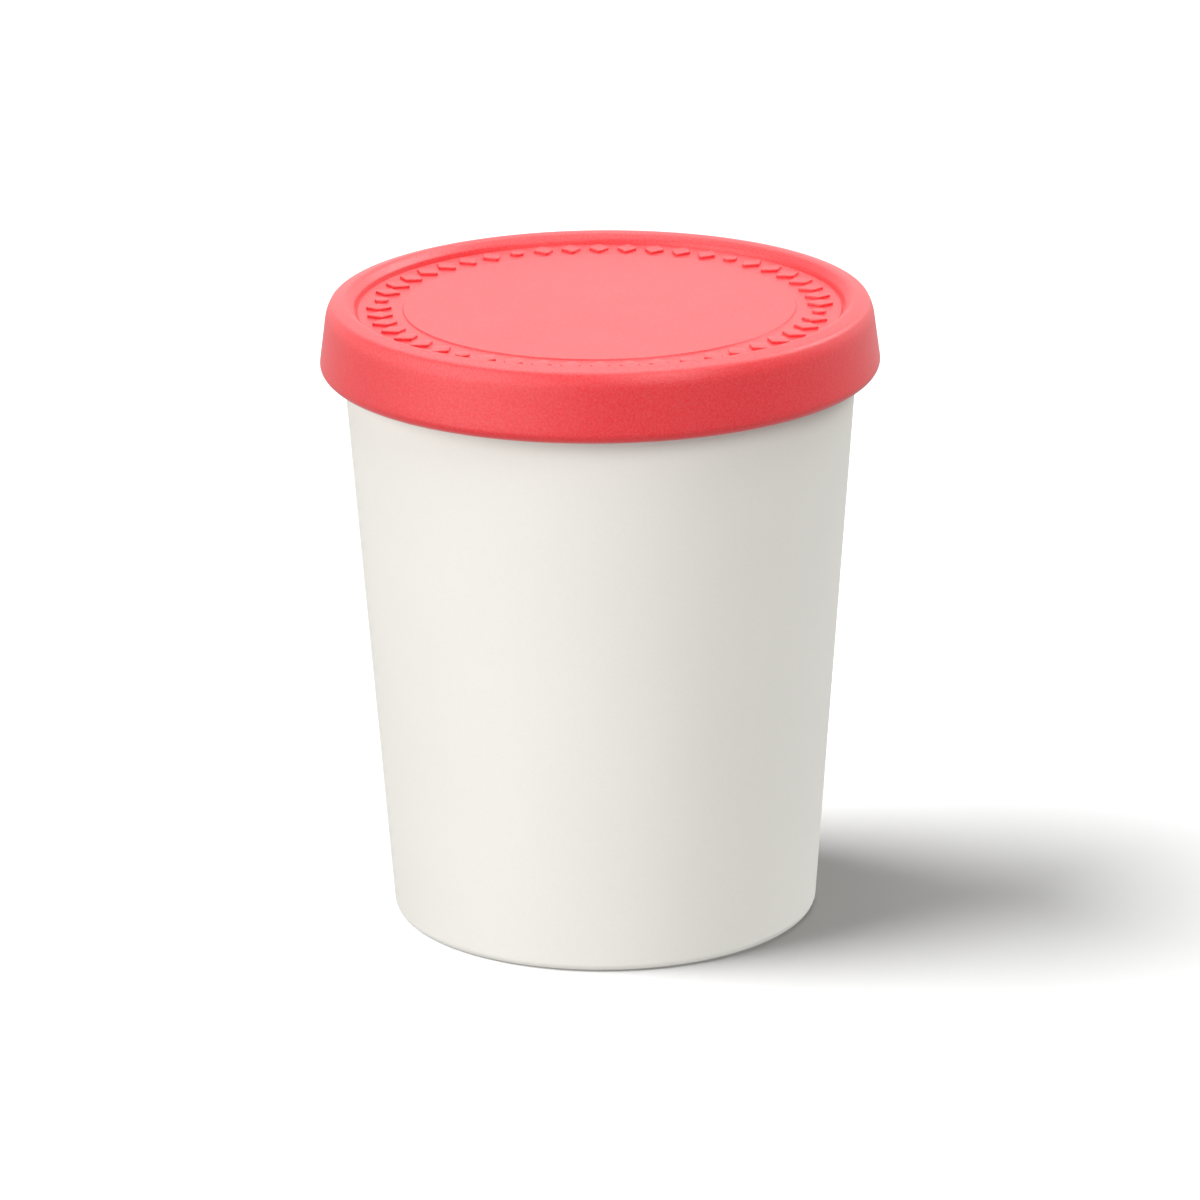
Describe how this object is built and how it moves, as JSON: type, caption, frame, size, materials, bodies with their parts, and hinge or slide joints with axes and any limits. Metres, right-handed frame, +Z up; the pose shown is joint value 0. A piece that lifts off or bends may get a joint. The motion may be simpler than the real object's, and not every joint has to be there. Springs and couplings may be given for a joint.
{
  "type": "ice cream tub",
  "caption": "Shut reusable ice cream tub: a tapered off-white plastic beaker under a coral silicone lid with a raised rim, a sunk band and a raised disc.",
  "frame": {"origin": "centre of the foot ring, on the surface the tub stands on", "axes": "+Z up along the tub's axis of revolution; +X and +Y are across it, and both pieces are the same all round"},
  "size_m": [0.1316, 0.1316, 0.15],
  "materials": {
    "tub_plastic": "smooth matt off-white polypropylene with a very fine moulded grain",
    "lid_silicone": "soft matt coral silicone with a fine powdery grain"
  },
  "bodies": {
    "root": {"tub": "tub_plastic", "lid": "lid_silicone"}
  },
  "joints": []
}
